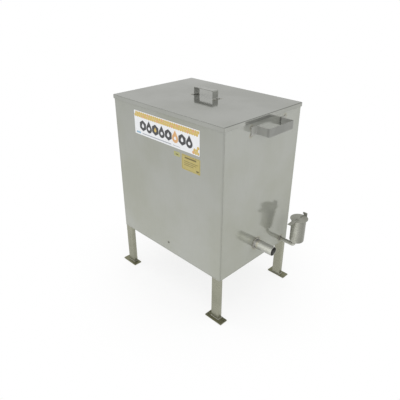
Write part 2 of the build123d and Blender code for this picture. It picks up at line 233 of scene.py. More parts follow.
GRAIN_SCALE = 260.0
GRAIN_SHARE = 0.035
GRAIN_INK = (0.05, 0.05, 0.045)
RUB_SCALE = 90.0
RUB_ROUGHNESS = 0.03
SMUDGE_PER_CLOUD = 3.1
WAVE_SCALE = 2.3
HEAT_REACH = 0.011
HEAT_WANDER = 0.006
HEAT_WANDER_SCALE = 70.0
HEAT_TINT = ((0.0, (0.62, 0.60, 0.60)), (0.22, (0.70, 0.70, 0.74)), (0.42, (0.86, 0.81, 0.73)),
             (0.66, (0.97, 0.94, 0.87)), (1.0, (1.0, 1.0, 1.0)))
# How far the painted shade inside a bore fades out, in metres
BORE_SHADE_FADE = 0.0004


def heat_tint(g, colour, spots, shift):
    """Straw and blue tint round welds, each given by its spot and the radius of its bead."""
    nearest = None
    for spot, radius in spots:
        away = g.math("SUBTRACT", g.distance_to(spot), radius)
        nearest = away if nearest is None else g.math("MINIMUM", nearest, away)
    wander = g.noise(HEAT_WANDER_SCALE, rough=0.6, shift=shift)
    wander = g.math("MULTIPLY_ADD", wander, HEAT_WANDER, -HEAT_WANDER / 2)
    share = g.spread(g.math("ADD", nearest, wander), 0.0, HEAT_REACH, smooth=False)
    return g.mix(1.0, colour, g.ramp(share, HEAT_TINT, "LINEAR"), blend="MULTIPLY")


def painted_light_bands(g, colour, origin, direction, half_width, stops):
    """Painted highlight and shade: bands of light and dark along a piece, read across its whole
    width.
    """
    share = g.spread(g.along(origin, direction, half_width), -1.0, 1.0, smooth=False)
    return g.mix(1.0, colour, g.ramp(share, stops), blend="MULTIPLY")


def painted_edge_shade(g, colour, low, high, start, end, level):
    """Painted shade: a dark line where two faces of a box meet, fading out between two distances.
    """
    reach = [g.math("SUBTRACT", (high[i] - low[i]) / 2,
                    g.math("ABSOLUTE", g.along((low + high) / 2, axis)))
             for i, axis in enumerate((X_AXIS, Y_AXIS, Z_AXIS))]
    whole = g.math("ADD", g.math("ADD", reach[0], reach[1]), reach[2])
    furthest = g.math("MAXIMUM", g.math("MAXIMUM", reach[0], reach[1]), reach[2])
    return g.times(colour, g.spread(g.math("SUBTRACT", whole, furthest), start, end, level, 1.0))


def painted_wall_shading(g, colour, low, high, level_low, level_high):
    """Painted light and shade on the front and back faces, from one level and height to another.
    """
    facing = g.node("ShaderNodeSeparateXYZ", {0: g.spot("Normal")}).outputs[1]
    tone = g.spread(g.along((0, 0, 0), Z_AXIS), low, high, level_low - 1.0, level_high - 1.0,
                    smooth=False)
    return g.times(colour, g.math("MULTIPLY_ADD", g.math("ABSOLUTE", facing), tone, 1.0))


def painted_bore_shade(g, colour, centre, radius, level):
    """Painted shade on the inside of a level tube along X."""
    across = [g.math("POWER", g.along(centre, axis), 2.0) for axis in (Y_AXIS, Z_AXIS)]
    away = g.math("SQRT", g.math("ADD", across[0], across[1]))
    return g.times(colour, g.spread(away, radius, radius + BORE_SHADE_FADE, level, 1.0))


def steel(name, bright, shade, rough, mottle, seed, grain=(1, 1, 1), grain_depth=0.00002,
          wave=0.0, spots=(), light_bands=None, edge_shade=None, tone=None, bore=None, dents=(), metal=0.7,
          edge=0.85, gloss=0.2):
    """Stainless steel: cloudy colour, smudged roughness, fine grain and slow waves.

    Rough is the lowest and highest roughness, mottle the scale of the clouds, and grain how far
    the grain is stretched along each axis. Spots give the heat tint round welds; the next four
    give
    painted light and shade: highlight and shade bands, shade along folded edges, light and shade
    on the front and back faces (tone), and shade inside a bore. These five are what the five
    functions above take, in that order. Dents are the shallow hollows that welding leaves, each
    with its place, radius and depth.
    """
    g = Graph(name)
    shift = (seed, seed * 0.7, -seed)
    cloud = g.noise(mottle, detail=4.0, rough=0.55, shift=shift)
    colour = g.mix(g.spread(cloud, low=0.32, high=0.68), shade, bright)
    fine = g.noise(GRAIN_SCALE, detail=2.0, rough=0.6, stretch=grain, shift=shift)
    inked = g.spread(fine, low=0.3, high=0.7, to_high=GRAIN_SHARE, smooth=False)
    colour = g.mix(inked, colour, GRAIN_INK)
    smudge = g.noise(mottle * SMUDGE_PER_CLOUD, detail=5.0, rough=0.6, shift=(seed, 3.0, seed))
    rubbed = g.noise(RUB_SCALE, stretch=grain, shift=shift)
    roughness = g.math("ADD", g.spread(smudge, 0.3, 0.72, *rough),
                       g.math("MULTIPLY", rubbed, RUB_ROUGHNESS))
    if spots:
        colour = heat_tint(g, colour, spots, shift)
    if light_bands:
        colour = painted_light_bands(g, colour, *light_bands)
    if edge_shade:
        colour = painted_edge_shade(g, colour, *edge_shade)
    if tone:
        colour = painted_wall_shading(g, colour, *tone)
    if bore:
        colour = painted_bore_shade(g, colour, *bore)
    normal = None
    if wave:
        slow = g.noise(WAVE_SCALE, detail=1.0, rough=0.4, shift=(seed + 5.0, seed, 2.0))
        normal = g.bump(slow, wave)
    for place, radius, depth in dents:
        dent = g.spread(g.distance_to(place), 0.0, radius, -depth, 0.0)
        normal = g.bump(dent, 1.0, under=normal)
    normal = g.bump(fine, grain_depth, under=normal)
    return g.finish(Base_Color=colour, Metallic=metal, Roughness=roughness, Normal=normal,
                    Specular_Tint=(edge, edge, edge, 1.0), Specular_IOR_Level=gloss)


def film(name, colour, worn):
    """Printed label film: even colour with faint ink mottling and a soft gloss."""
    g = Graph(name)
    ink = g.noise(60.0, detail=4.0, rough=0.6)
    tone = g.mix(g.spread(ink, low=0.35, high=0.7, to_high=0.35), colour, worn)
    speck = g.noise(900.0, detail=2.0)
    rubbed = g.noise(14.0, detail=4.0)
    roughness = g.spread(rubbed, low=0.3, high=0.7, to_low=0.25, to_high=0.4)
    return g.finish(Base_Color=tone, Roughness=roughness, Normal=g.bump(speck, distance=0.00001),
                    Coat_Weight=0.25, Coat_Roughness=0.2)


# Mesh helpers

def mesh_object(name, points, faces):
    """A mesh object in the scene, its points in the part's own frame."""
    mesh = bpy.data.meshes.new(name)
    mesh.from_pydata([tuple(p) for p in points], [], faces)
    made = bpy.data.objects.new(name, mesh)
    bpy.context.scene.collection.objects.link(made)
    return made


def add_piece(name, points, faces, material, body, smooth=True):
    """A mesh piece of the melter that rides on a body."""
    piece = mesh_object(name, points, faces)
    piece.data.materials.append(material)
    piece.data.update()
    if smooth:
        piece.data.shade_smooth()
    else:
        piece.data.shade_flat()
    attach(piece, body)
    return piece


def join_rings(rings, closed):
    """Points and quads of a skin through rings of points."""
    count = len(rings[0])
    points = [p for ring in rings for p in ring]
    faces = []
    last = len(rings) if closed else len(rings) - 1
    for i in range(last):
        j = (i + 1) % len(rings)
        for k in range(count):
            m = (k + 1) % count
            faces.append((i * count + k, i * count + m, j * count + m, j * count + k))
    if not closed:
        faces.append(tuple(reversed(range(count))))
        faces.append(tuple((len(rings) - 1) * count + k for k in range(count)))
    return points, faces


def measured(path, step, closed):
    """Evenly spaced points along a path, each with its tangent and distance."""
    line = [Vector(p) for p in path]
    if closed:
        line.append(line[0])
    lengths = [0.0]
    for a, b in zip(line, line[1:]):
        lengths.append(lengths[-1] + (b - a).length)
    count = max(3, round(lengths[-1] / step))
    marks = []
    segment = 0
    for i in range(count if closed else count + 1):
        at = lengths[-1] * i / count
        while segment < len(line) - 2 and lengths[segment + 1] < at:
            segment += 1
        a, b = line[segment], line[segment + 1]
        share = (at - lengths[segment]) / max(lengths[segment + 1] - lengths[segment], TINY)
        marks.append((a.lerp(b, share), (b - a).normalized(), at))
    return marks


def turns(count):
    """Evenly spaced angles round a circle, in radians."""
    return [2 * math.pi * i / count for i in range(count)]


def axes_about(axis):
    """Unit vector along an axis, and two across it."""
    axis = Vector(axis).normalized()
    side = axis.orthogonal().normalized()
    return axis, side, axis.cross(side)


def circle_path(centre, axis, radius, count=96):
    """Points round a circle about an axis."""
    axis, side, other = axes_about(axis)
    return [Vector(centre) + radius * (math.cos(t) * side + math.sin(t) * other)
            for t in turns(count)]


def box_path(centre, half_x, half_y, corner):
    """Points round a level rectangle with rounded corners."""
    steps = 5
    points = []
    for sign_x, sign_y, start in ((1, 1, 0), (-1, 1, 90), (-1, -1, 180), (1, -1, 270)):
        for i in range(steps + 1):
            angle = math.radians(start + 90 * i / steps)
            x = sign_x * (half_x - corner) + corner * math.cos(angle)
            y = sign_y * (half_y - corner) + corner * math.sin(angle)
            points.append(Vector(centre) + Vector((x, y, 0)))
    return points


# Weld beads: sizes, ends and drift are shares of the bead's radius, and the drift swings from side
# to side by an angle per metre

POOL_COUNT = 2000
POOL_SIZES = (0.9, 1.12)
CROWN_LOW = 0.80
CROWN_RISE = 0.28
CROWN_POWER = 0.7
END_SHARE = 0.35
END_REACH = 1.5
DRIFT_SHARE = 0.12
DRIFT_TURN = 310.0


def bead(name, body, path, normal, radius, seed, step, closed=True, ripple=0.0024, sides=8,
         material=None):
    """Fillet weld bead along a path, with the overlapping ripples of its pools.

    Each pool is a ripple long and has its own size, an open bead thins out towards its ends, and
    the bead drifts a little from side to side.
    """
    chance = random.Random(seed)
    pools = [chance.uniform(*POOL_SIZES) for _ in range(POOL_COUNT)]
    normal = Vector(normal).normalized()
    marks = measured(path, step, closed)
    total = marks[-1][2]
    rings = []
    for centre, tangent, at in marks:
        across = tangent.cross(normal).normalized()
        pool, phase = divmod(at / ripple, 1.0)
        crown = CROWN_LOW + CROWN_RISE * math.sin(math.pi * phase) ** CROWN_POWER
        size = radius * crown * pools[int(pool) % POOL_COUNT]
        if not closed:
            from_end = min(at, total - at) / (END_REACH * radius)
            size *= min(1.0, END_SHARE + (1 - END_SHARE) * from_end)
        drift = radius * DRIFT_SHARE * math.sin(at * DRIFT_TURN + seed)
        rings.append([centre + across * (size * math.cos(t) + drift) + normal * size * math.sin(t)
                      for t in turns(sides)])
    points, faces = join_rings(rings, closed)
    return add_piece(name, points, faces, material or weld_steel, body)


def lathe(name, body, centre, profile, material, axis=Z_AXIS, segments=64):
    """A turned piece: (radius, height) points spun about an axis, closed at zero radius."""
    axis, side, other = axes_about(axis)
    centre = Vector(centre)
    points = []
    rows = []
    for radius, height in profile:
        start = len(points)
        if radius < TINY:
            points.append(centre + axis * height)
        else:
            points += [centre + axis * height + radius * (math.cos(t) * side + math.sin(t) * other)
                       for t in turns(segments)]
        rows.append(range(start, len(points)))
    faces = []
    for low, high in zip(rows, rows[1:]):
        for i in range(segments):
            j = (i + 1) % segments
            if len(low) == 1:
                faces.append((low[0], high[j], high[i]))
            elif len(high) == 1:
                faces.append((low[i], low[j], high[0]))
            else:
                faces.append((low[i], low[j], high[j], high[i]))
    return add_piece(name, points, faces, material, body)


def arc(centre_r, centre_z, radius, start, end, count):
    """Profile points round an arc, angles in degrees."""
    angles = [math.radians(start + (end - start) * i / count) for i in range(count + 1)]
    return [(centre_r + radius * math.cos(t), centre_z + radius * math.sin(t)) for t in angles]


def dome_rivet(name, body, centre, axis, radius, rise):
    """Domed rivet head with a low straight foot, sunk a little into its surface."""
    foot = 0.18
    sink = 0.0002
    profile = [(radius, -sink), (radius, rise * foot)]
    profile += [(radius * math.cos(t), rise * (foot + (1 - foot) * math.sin(t)))
                for t in (math.radians(a) for a in range(10, 90, 10))]
    profile.append((0.0, rise))
    return lathe(name, body, centre, profile, pin_steel, axis=axis, segments=32)


TACK_SIDES = 24
TACK_WOBBLE = (0.88, 1.14)
TACK_PROFILE = ((1.0, -0.1), (0.97, 0.14), (0.80, 0.30), (0.62, 0.33), (0.46, 0.42), (0.22, 0.47))


def tack(name, body, centre, axis, radius, seed):
    """Single weld tack: a flat uneven blob with one ripple ring."""
    chance = random.Random(seed)
    wobble = [chance.uniform(*TACK_WOBBLE) for _ in range(TACK_SIDES)]
    axis, side, other = axes_about(axis)
    rings = []
    for share, rise in TACK_PROFILE:
        ring = []
        for t, uneven in zip(turns(TACK_SIDES), wobble):
            size = radius * share * (1 + (uneven - 1) * share)
            ring.append(Vector(centre) + axis * radius * rise
                        + size * (math.cos(t) * side + math.sin(t) * other))
        rings.append(ring)
    points, faces = join_rings(rings, False)
    open_foot = faces[:-2] + faces[-1:]
    return add_piece(name, points, open_foot, weld_steel, body)


# Materials

# Heat spots: the centre of each weld and how far it reaches
OUTLET_BEAD = 0.002
PIPE_BEAD = 0.0015
TACK_BEAD = 0.002
tank_spots = [(OUTLET, OUTLET_RADIUS + OUTLET_BEAD), (PIPE, PIPE_RADIUS + PIPE_BEAD)]
tank_spots += [((sign * TANK_X, y, z), TACK_BEAD) for sign in (-1, 1) for y, z in SIDE_TACKS]
lid_spots = [((x, y, LID_TOP), TACK_BEAD) for x, y in LID_TACKS]

# Painted highlight and shade bands: origin, direction across the piece, half its width, and the
# grey levels across it
tube_light_bands = (OUTLET, (0.0, 0.63, 0.78), OUTLET_RADIUS,
               ((0.0, 0.46), (0.12, 0.57), (0.25, 0.86), (0.38, 1.0), (0.50, 0.92), (0.62, 0.68),
                (0.74, 0.46), (0.88, 0.38), (1.0, 0.38)))
pipe_light_bands = (PIPE, (0.0, 0.60, 0.80), PIPE_RADIUS,
               ((0.0, 0.92), (0.5, 1.0), (0.7, 0.72), (1.0, 0.60)))
cup_light_bands = (CUP, (0.866, 0.5, 0.0), CUP_RADIUS,
              ((0.05, 0.82), (0.20, 0.84), (0.33, 1.0), (0.42, 0.93), (0.52, 0.72), (0.64, 0.56),
               (0.80, 0.48), (0.90, 0.50), (1.0, 0.62)))
grip_shade_bands = ((0.0, 0.0, 0.0), X_AXIS, SIDE_HIGH.x,
               ((0.0, 0.72), (0.006, 0.72), (0.02, 1.0), (0.98, 1.0), (0.994, 0.72), (1.0, 0.72)))

# Painted edge shade: a box, the two distances from its edges between which the dark line fades,
# and its level. The tank has the painted line at its upright corners and its bottom, the lid at
# its upright corners and its top, so each box runs on past the side that has none
RUN_ON = Vector((0.0, 0.0, 0.1))
tank_edge_shade = (TANK_LOW, TANK_HIGH + RUN_ON, 0.0, 0.008, 0.88)
lid_edge_shade = (LID_LOW - RUN_ON, LID_HIGH, 0.0012, 0.0025, 0.45)

# Painted light and shade on the front and back faces: two heights, and the level at each
tank_wall_shading = (0.25, 0.80, 1.07, 0.91)
lid_wall_shading = (0.7, 0.8, 0.92, 0.91)

# The tank paints shade along its folded edges, and light and shade down its front and back faces
tank_steel = steel("tank_sheet_steel", (0.406, 0.415, 0.383), (0.364, 0.373, 0.320),
                   rough=(0.08, 0.14), grain=(1.0, 1.0, 0.05), wave=0.0012, spots=tank_spots,
                   edge_shade=tank_edge_shade, tone=tank_wall_shading, mottle=3.0, seed=1.3, metal=0.44,
                   dents=((OUTLET, 0.10, 0.004), (PIPE, 0.16, 0.006)))
# The lid paints shade along its top and upright edges, and shade on its front and back flanges
lid_steel = steel("lid_sheet_steel", (0.420, 0.427, 0.398), (0.358, 0.365, 0.332),
                  rough=(0.06, 0.11), grain=(0.05, 1.0, 1.0), wave=0.0008, spots=lid_spots,
                  edge_shade=lid_edge_shade, tone=lid_wall_shading, mottle=3.4, seed=4.1, edge=0.66, gloss=0.1)
# The side handles' bands paint shade on the grips
side_strip_steel = steel("side_handle_steel", (0.372, 0.376, 0.352), (0.315, 0.32, 0.297),
                         rough=(0.26, 0.38), grain=(1.0, 0.1, 1.0), light_bands=grip_shade_bands,
                         mottle=14.0, seed=17.6, metal=0.1)
strip_steel = steel("handle_strip_steel", (0.33, 0.335, 0.313), (0.275, 0.28, 0.258),
                    rough=(0.26, 0.38), grain=(0.1, 1.0, 1.0), mottle=14.0, seed=2.2, metal=0.1)
# The tube's pale base with its bands paints a highlight along its middle and shade at its top and
# bottom; its bore is painted dark
tube_steel = steel("tube_steel", (0.90, 0.905, 0.84), (0.78, 0.782, 0.71), rough=(0.18, 0.28),
                   grain=(0.05, 1.0, 1.0), spots=[(OUTLET, OUTLET_RADIUS)], light_bands=tube_light_bands,
                   bore=(OUTLET, OUTLET_RADIUS - OUTLET_WALL, 0.3), mottle=18.0, seed=3.7,
                   metal=0.3)
# The pipe's bands paint highlight and shade round it
pipe_steel = steel("filler_pipe_steel", (0.56, 0.562, 0.505), (0.46, 0.462, 0.41),
                   rough=(0.24, 0.34), grain=(0.1, 1.0, 1.0), spots=[(PIPE, PIPE_RADIUS)],
                   light_bands=pipe_light_bands, mottle=30.0, seed=5.2, metal=0.5)
# The cup's pale base with its bands paints highlights, reflections and shade round it
cup_steel = steel("cup_steel", (0.56, 0.562, 0.50), (0.48, 0.482, 0.42), rough=(0.2, 0.32),
                  grain=(1.0, 1.0, 0.06), light_bands=cup_light_bands, mottle=22.0, seed=6.4, metal=0.5)
# The cap's dark base paints the dark reflection it shows
cap_steel = steel("cap_steel", (0.32, 0.322, 0.28), (0.26, 0.262, 0.225), rough=(0.28, 0.4),
                  grain=(1.0, 0.2, 1.0), mottle=26.0, seed=7.9, metal=0.5)
pin_steel = steel("pin_steel", (0.24, 0.238, 0.21), (0.17, 0.168, 0.147), rough=(0.25, 0.4),
                  mottle=60.0, seed=8.3)
weld_steel = steel("weld_steel", (0.42, 0.415, 0.37), (0.29, 0.282, 0.245), rough=(0.28, 0.45),
                   mottle=160.0, grain_depth=0.00006, seed=9.1, metal=0.5)
seam_steel = steel("ground_seam_steel", (0.34, 0.34, 0.305), (0.27, 0.27, 0.24),
                   rough=(0.3, 0.42), mottle=60.0, grain_depth=0.00004, seed=16.2)
leg_steel = steel("leg_steel", (0.343, 0.343, 0.272), (0.290, 0.291, 0.225), rough=(0.22, 0.34),
                  grain=(1.0, 1.0, 0.05), mottle=9.0, seed=10.6)
foot_steel = steel("foot_steel", (0.222, 0.220, 0.145), (0.158, 0.157, 0.098), rough=(0.34, 0.5),
                   grain=(0.3, 1.0, 1.0), grain_depth=0.00005, mottle=22.0, seed=11.4)
tray_steel = steel("tray_steel", (0.42, 0.42, 0.38), (0.36, 0.36, 0.31), rough=(0.16, 0.26),
                   grain=(0.05, 1.0, 1.0), mottle=5.0, seed=12.8)
bar_steel = steel("bar_steel", (0.33, 0.33, 0.29), (0.27, 0.27, 0.235), rough=(0.26, 0.38),
                  grain=(1.0, 0.06, 1.0), mottle=10.0, seed=13.2)
basket_steel = steel("basket_steel", (0.42, 0.42, 0.385), (0.36, 0.36, 0.325),
                     rough=(0.18, 0.28), grain=(0.1, 0.1, 1.0), mottle=6.0, seed=14.5)
frame_steel = steel("basket_frame_steel", (0.38, 0.38, 0.345), (0.31, 0.31, 0.275),
                    rough=(0.2, 0.3), grain=(0.1, 0.1, 1.0), mottle=12.0, seed=15.9)

white_film = film("label_white_film", (0.80, 0.81, 0.83), (0.74, 0.76, 0.78))
amber_film = film("label_amber_print", (0.60, 0.42, 0.10), (0.60, 0.50, 0.16))
honey_film = film("label_honey_print", (0.66, 0.36, 0.14), (0.62, 0.42, 0.22))
dark_film = film("label_dark_print", (0.028, 0.029, 0.033), (0.045, 0.045, 0.05))
grey_film = film("label_grey_print", (0.32, 0.34, 0.38), (0.40, 0.42, 0.45))
blue_film = film("label_blue_print", (0.23, 0.42, 0.56), (0.36, 0.50, 0.60))
yellow_film = film("label_yellow_film", (0.45, 0.37, 0.11), (0.49, 0.43, 0.18))
brown_film = film("label_brown_print", (0.13, 0.10, 0.015), (0.20, 0.16, 0.04))
olive_film = film("label_tag_film", (0.38, 0.375, 0.14), (0.44, 0.43, 0.22))


def dress(material, *names):
    """Gives CAD nodes their detailed material."""
    for name in names:
        for slot in nodes[name].material_slots:
            slot.material = material


dress(tank_steel, "tank_wall", "tank_bottom")
dress(lid_steel, "lid")
dress(strip_steel, "lid_handle")
dress(side_strip_steel, "side_handle_left", "side_handle_right")
dress(tube_steel, "outlet_tube")
dress(pipe_steel, "filler_pipe")
dress(cup_steel, "filler_cup")
dress(cap_steel, "filler_cap", "filler_cap_strap", "filler_cap_tab", "filler_hinge_bracket")
dress(pin_steel, "filler_hinge_pin", "tray_rivets")
dress(leg_steel, *[f"leg_{corner}" for corner in CORNERS])
dress(foot_steel, *[f"foot_plate_{corner}" for corner in CORNERS])
dress(tray_steel, "wax_tray", *[f"tray_{kind}_{side}" for kind in ("bracket", "foot")
                                for side in SIDES])
dress(bar_steel, *[f"basket_bar_{end}" for end in ENDS])
dress(basket_steel, "basket_floor", *[f"basket_side_{side}" for side in SIDES],
      *[f"basket_end_{end}" for end in ENDS])
dress(frame_steel, "basket_rim", *[f"basket_grip_{end}" for end in ENDS])


# Filler cup and pipe

SHARP_EDGE = math.radians(50)


def cut_hole(piece, radius, x, y, z0, z1):
    """Cuts an upright round hole through a piece."""
    rings = [circle_path((x, y, z), Z_AXIS, radius, 40) for z in (z0, z1)]
    cutter = mesh_object("cutter", *join_rings(rings, False))
    hole = piece.modifiers.new("hole", "BOOLEAN")
    hole.object = cutter
    hole.solver = "EXACT"
    depsgraph = bpy.context.evaluated_depsgraph_get()
    cut = bpy.data.meshes.new_from_object(piece.evaluated_get(depsgraph))
    piece.modifiers.clear()
    piece.data = cut
    bpy.data.objects.remove(cutter)


def filler_cup():
    """Turned cup with a rounded lower edge, a rolled rim and a hole for the pipe."""
    inner = CUP_RADIUS - CUP_WALL
    flat = CUP_RADIUS - CUP_EDGE - 0.0005
    shoulder = CUP_HEIGHT - 0.0035
    rim_foot = CUP_HEIGHT - 0.0012
    rim = CUP_WALL / 2
    hole = PIPE_RADIUS - 0.0002
    hole_reach = 0.01
    profile = [(0.0, 0.0), (flat, 0.0)]
    profile += arc(CUP_RADIUS - CUP_EDGE, CUP_EDGE, CUP_EDGE, -90, 0, 10)
    profile += [(CUP_RADIUS, shoulder), (CUP_RADIUS, rim_foot)]
    profile += arc(CUP_RADIUS - rim, CUP_HEIGHT - rim, rim, 0, 180, 6)
    profile += [(inner, shoulder), (inner, CUP_WALL + CUP_EDGE)]
    profile += arc(inner - CUP_EDGE, CUP_WALL + CUP_EDGE, CUP_EDGE, 0, -90, 8)
    profile += [(0.0, CUP_WALL)]
    cup = lathe("cup_shell", "tank", CUP, profile, cup_steel, segments=72)
    cut_hole(cup, hole, PIPE_RISE_X, PIPE.y, CUP.z - hole_reach, CUP.z + hole_reach)
    cup.data.set_sharp_from_angle(angle=SHARP_EDGE)
    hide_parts("filler_cup")


def filler_pipe():
    """Bent pipe from inside the tank to the cup's floor."""
    sides = 36
    run_steps = 8
    bend_steps = 14
    start = Vector((PIPE_LOW.x, PIPE.y, PIPE.z))
    corner = Vector((PIPE_RISE_X, PIPE.y, PIPE.z))
    bend_start = corner - Vector((PIPE_BEND, 0, 0))
    path = [start.lerp(bend_start, i / run_steps) for i in range(run_steps + 1)]
    for i in range(1, bend_steps + 1):
        angle = math.radians(90 * i / bend_steps)
        path.append(corner + Vector((-PIPE_BEND + PIPE_BEND * math.sin(angle), 0,
                                     PIPE_BEND - PIPE_BEND * math.cos(angle))))
    path.append(Vector((PIPE_RISE_X, PIPE.y, CUP.z + CUP_WALL)))
    side = Vector(Y_AXIS)
    spine = []
    for before, point, after in zip(path[:1] + path, path, path[1:] + path[-1:]):
        spine.append((point, side.cross(after - before).normalized()))
    rings = []
    for radius, sequence in ((PIPE_RADIUS, spine), (PIPE_RADIUS - PIPE_WALL, spine[::-1])):
        for point, across in sequence:
            rings.append([point + radius * (math.cos(t) * side + math.sin(t) * across)
                          for t in turns(sides)])
    points, faces = join_rings(rings, True)
    pipe = add_piece("bent_pipe", points, faces, pipe_steel, "tank")
    pipe.data.set_sharp_from_angle(angle=SHARP_EDGE)
    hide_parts("filler_pipe")


filler_cup()
filler_pipe()


# Small round parts

def outlet_lip():
    """Rounded lip at the mouth of the outlet tube."""
    sink = 0.0003
    profile = arc(OUTLET_RADIUS - OUTLET_WALL / 2, 0.0, OUTLET_WALL / 2, 0, 180, 10)
    lathe("outlet_lip", "tank", (TUBE_HIGH.x - sink, OUTLET.y, OUTLET.z), profile, tube_steel,
          axis=X_AXIS, segments=72)


def cap_rivets():
    """Domed rivets that hold the tab and the strap to the cap."""
    plate = 0.0015
    top = CAP_TOP + plate
    for kind, offsets, radius in (("tab", (-0.0265, -0.0165), 0.0028),
                                  ("strap", (0.0175, 0.0265), 0.0021)):
        for number, offset in enumerate(offsets):
            dome_rivet(f"cap_{kind}_rivet_{number + 1}", "filler_cap",
                       (CUP.x, CUP.y + offset, top), Z_AXIS, radius, rise=radius / 2)


def tray_rivets():
    """Domed heads of the rivets that hold the tray brackets."""
    middle = (RIVETS_LOW + RIVETS_HIGH) / 2
    for side, sign in SIDES.items():
        head = dome_rivet(f"tray_rivet_{side}", "tank", (middle.x, sign * TANK_Y, middle.z),
                          (0, sign, 0), radius=0.0048, rise=0.0022)
        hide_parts("tray_rivets")


outlet_lip()
cap_rivets()
tray_rivets()


# Welds

def ring_welds():
    """Fillet welds round the outlet tube, the filler pipe and the foot of the cup."""
    for name, centre, axis, radius, size, seed in (
            ("weld_outlet", OUTLET + Vector((0.0004, 0, 0)), X_AXIS,
             OUTLET_RADIUS + 0.0007, 0.0025, 3),
            ("weld_outlet_inside", Vector((TUBE_LOW.x + 0.0002, OUTLET.y, OUTLET.z)), (-1, 0, 0),
             OUTLET_RADIUS + 0.0004, 0.0012, 4),
            ("weld_filler", PIPE + Vector((0.0003, 0, 0)), X_AXIS,
             PIPE_RADIUS + 0.0005, 0.0019, 5),
            ("weld_cup", Vector((PIPE_RISE_X, PIPE.y, CUP.z - 0.0002)), DOWN,
             PIPE_RADIUS + 0.0005, 0.0016, 6)):
        bead(name, "tank", circle_path(centre, axis, radius), axis, size, seed=seed,
             ripple=0.003, step=0.0008)


def leg_welds():
    """Fillet welds at both ends of every leg."""
    rounding = 0.003
    proud = 0.0003
    tucked = Vector((0.0003, 0.0004, 0.0004))
    for number, corner in enumerate(CORNERS):
        low, high = corners_of(f"leg_{corner}")
        middle = (low + high) / 2
        half = (high - low) / 2
        foot = box_path((middle.x, middle.y, low.z + proud), half.x + proud, half.y + proud,
                        rounding)
        bead(f"weld_foot_{corner}", "tank", foot, Z_AXIS, radius=0.0019, seed=20 + number,
             ripple=0.003, step=0.0009)
        head = box_path((middle.x, middle.y, high.z - tucked.z), half.x - tucked.x,
                        half.y - tucked.y, rounding)
        bead(f"weld_leg_{corner}", "tank", head, DOWN, radius=0.0011, seed=30 + number,
             ripple=0.0026, step=0.0009, sides=6)


def handle_tacks():
    """Tack welds at the ends of the handles' feet."""
    lift = 0.0006
    for end, sign in ENDS.items():
        for number, (y, z) in enumerate(SIDE_TACKS):
            tack(f"tack_side_{end}_{number + 1}", "tank", (sign * (TANK_X + lift), y, z),
                 (sign, 0, 0), radius=0.0028, seed=40 + number + 7 * sign)
    for number, (x, y) in enumerate(LID_TACKS):
        tack(f"tack_lid_{number + 1}", "lid", (x, y, LID_TOP + lift), Z_AXIS, radius=0.0026,
             seed=60 + number)


def ground_seams():
    """Ground seams at two corners of the tank and the four corners of the lid's flange."""
    tank_inset = 0.0042
    tank_run = (TANK_LOW.z + 0.001, LID_LOW.z - 0.004)
    lid_inset = 0.0012
    lid_run = (LID_LOW.z + 0.0006, LID_TOP - 0.0015)
    for name, sign_x, sign_y in (("front_right", 1, -1), ("back_left", -1, 1)):
        path = [(sign_x * TANK_X, sign_y * (TANK_Y - tank_inset), z) for z in tank_run]
        bead(f"seam_tank_{name}", "tank", path, (sign_x, 0, 0), radius=0.0005, closed=False,
             seed=70, ripple=0.02, step=0.004, sides=6, material=seam_steel)
    for end, sign_x in ENDS.items():
        for side, sign_y in SIDES.items():
            path = [(sign_x * (LID_HIGH.x - lid_inset), sign_y * (LID_HIGH.y - lid_inset), z)
                    for z in lid_run]
            bead(f"seam_lid_{side}_{end}", "lid", path, (sign_x, 0, 0), radius=0.0007,
                 closed=False, seed=71, ripple=0.004, step=0.001, material=seam_steel)


def short_weld(name, body, path, normal, radius, seed):
    """Short straight weld on the basket or its bars."""
    bead(name, body, path, normal, radius, closed=False, seed=seed, step=0.001, sides=6)


def basket_stitches():
    """Three stitch welds up every corner of the basket."""
    stitches = 3
    first = 0.03
    pitch = 0.14
    length = 0.03
    proud = 0.0002
    inset = 0.0019
    low = corners_of("basket_side_front")[0]
    end_x = corners_of("basket_end_right")[1].x
    for side, sign_y in SIDES.items():
        for end, sign_x in ENDS.items():
            for number in range(stitches):
                start = low.z + first + pitch * number
                path = [(sign_x * (end_x + proud), sign_y * (abs(low.y) - inset), z)
                        for z in (start, start + length)]
                short_weld(f"stitch_{side}_{end}_{number + 1}", "basket", path, (sign_x, 0, 0),
                           radius=0.0011, seed=80 + number)


def grip_and_bar_welds():
    """Short welds beside the basket's grips and at the ends of its bars."""
    proud = 0.0002
    rim_gap = 0.002
    bar_gap = 0.001
    rim_low, rim_high = corners_of("basket_rim")
    for end, sign in ENDS.items():
        plate_low, plate_high = corners_of(f"basket_grip_{end}")
        for side, y in (("front", plate_low.y), ("back", plate_high.y)):
            path = [(sign * (rim_high.x + proud), y, z)
                    for z in (rim_low.z + rim_gap, rim_high.z - rim_gap)]
            short_weld(f"weld_grip_{end}_{side}", "basket", path, (sign, 0, 0), radius=0.0013,
                       seed=90)
        bar_low, bar_high = corners_of(f"basket_bar_{end}")
        for side, y in (("front", bar_low.y), ("back", bar_high.y)):
            path = [(x, y, bar_high.z) for x in (bar_low.x + bar_gap, bar_high.x - bar_gap)]
            short_weld(f"weld_bar_{end}_{side}", "tank", path, Z_AXIS, radius=0.0012, seed=95)


ring_welds()
leg_welds()
handle_tacks()
ground_seams()
basket_stitches()
grip_and_bar_welds()


# Labels, laid out in X and Z on the front wall

def rounded_outline(x0, z0, x1, z1, radius):
    """Outline of a rounded rectangle, counted anticlockwise."""
    steps = 6
    outline = []
    for cx, cz, start in ((x1 - radius, z1 - radius, 0), (x0 + radius, z1 - radius, 90),
                          (x0 + radius, z0 + radius, 180), (x1 - radius, z0 + radius, 270)):
        for i in range(steps + 1):
            angle = math.radians(start + 90 * i / steps)
            outline.append((cx + radius * math.cos(angle), cz + radius * math.sin(angle)))
    return outline


